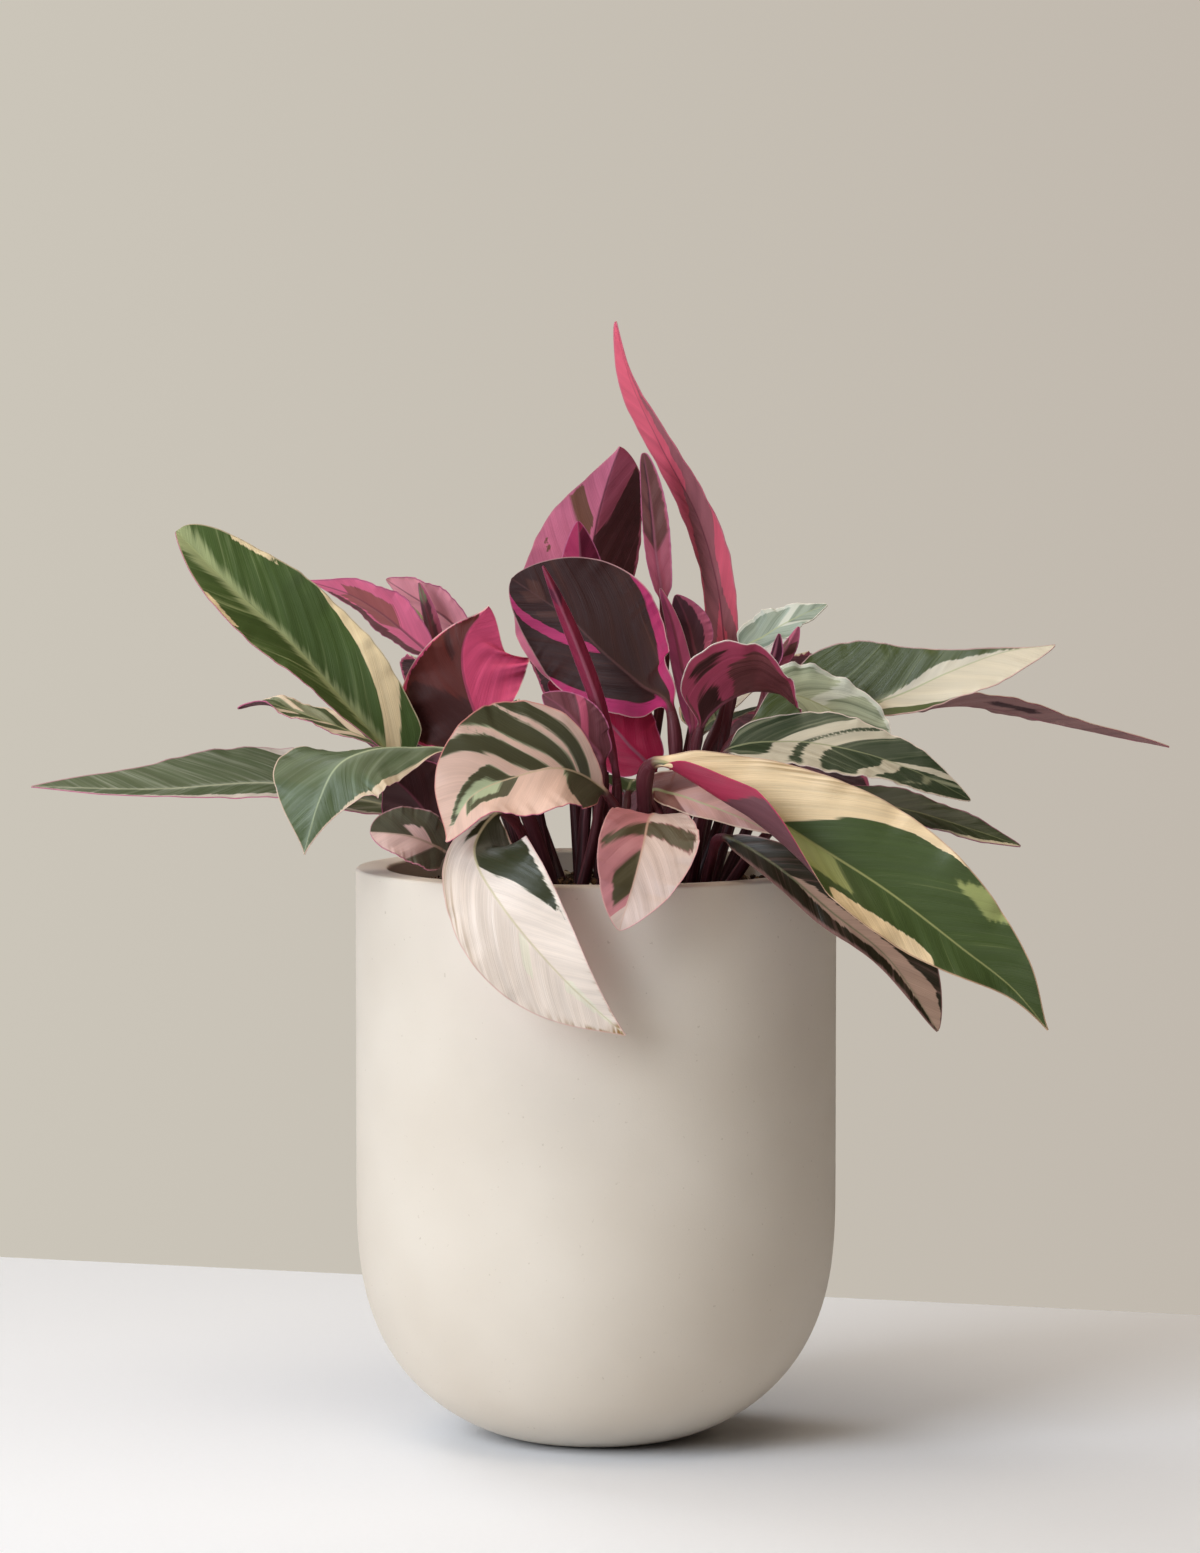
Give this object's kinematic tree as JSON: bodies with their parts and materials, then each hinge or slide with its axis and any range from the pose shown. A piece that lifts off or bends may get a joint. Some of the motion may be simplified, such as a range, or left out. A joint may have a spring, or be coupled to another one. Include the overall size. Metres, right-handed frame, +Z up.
{
  "type": "potted stromanthe triostar plant",
  "caption": "Potted foliage plant: a clump of long-stalked, lance-shaped leaves, green, cream and pink, standing in potting mix in a plain round-bottomed cylinder pot.",
  "frame": {"origin": "centre of the pot's flat base, on the surface it stands on", "axes": "+Z up along the pot's axis, -Y the front of the plant, +X its right-hand side seen from the front"},
  "size_m": [0.5613, 0.3649, 0.5563],
  "materials": {
    "pot": "matte",
    "potting_mix": "matte",
    "leaf_green": "satin",
    "leaf_striped": "satin",
    "leaf_cream": "satin",
    "leaf_magenta": "satin",
    "leaf_plum": "satin"
  },
  "bodies": {
    "root": {"pot": "pot", "soil": "potting_mix", "leaf_01_left_upper": "leaf_green", "leaf_02_left_level": "leaf_green", "leaf_03_left_twisted": "leaf_green", "leaf_04_left_curled": "leaf_green", "leaf_05_left_pink": "leaf_magenta", "leaf_06_left_pale": "leaf_magenta", "leaf_07_left_broad": "leaf_plum", "leaf_08_back_tall": "leaf_magenta", "leaf_09_centre_round": "leaf_plum", "leaf_10_centre_spear": "leaf_magenta", "leaf_11_back_narrow": "leaf_plum", "leaf_12_back_tallest": "leaf_magenta", "leaf_13_back_dark": "leaf_plum", "leaf_14_right_folded": "leaf_plum", "leaf_15_right_pale": "leaf_striped", "leaf_16_right_spear": "leaf_plum", "leaf_17_right_large": "leaf_green", "leaf_18_right_edgewise": "leaf_plum", "leaf_19_right_striped": "leaf_striped", "leaf_20_right_largest": "leaf_green", "leaf_21_right_hanging": "leaf_green", "leaf_22_right_low": "leaf_green", "leaf_23_front_arched": "leaf_striped", "leaf_24_left_low": "leaf_striped", "leaf_25_front_cream": "leaf_cream", "leaf_26_front_small": "leaf_cream", "leaf_27_right_blush": "leaf_cream", "leaf_28_left_plum": "leaf_plum", "leaf_29_left_spear": "leaf_plum", "leaf_30_centre_tip": "leaf_magenta", "leaf_31_centre_rolled": "leaf_magenta", "leaf_32_centre_magenta": "leaf_magenta", "leaf_33_centre_muted": "leaf_striped", "leaf_34_right_shoot": "leaf_plum", "leaf_35_rear_middle": "leaf_green", "leaf_36_rear_right": "leaf_striped", "leaf_37_rear_left": "leaf_green", "leaf_38_rear_left_low": "leaf_cream", "leaf_39_rear_right_low": "leaf_green", "leaf_40_rear_upright": "leaf_plum", "leaf_41_rear_right_upper": "leaf_magenta", "leaf_42_rear_left_upper": "leaf_green", "leaf_43_rear_middle_low": "leaf_striped"}
  },
  "joints": []
}
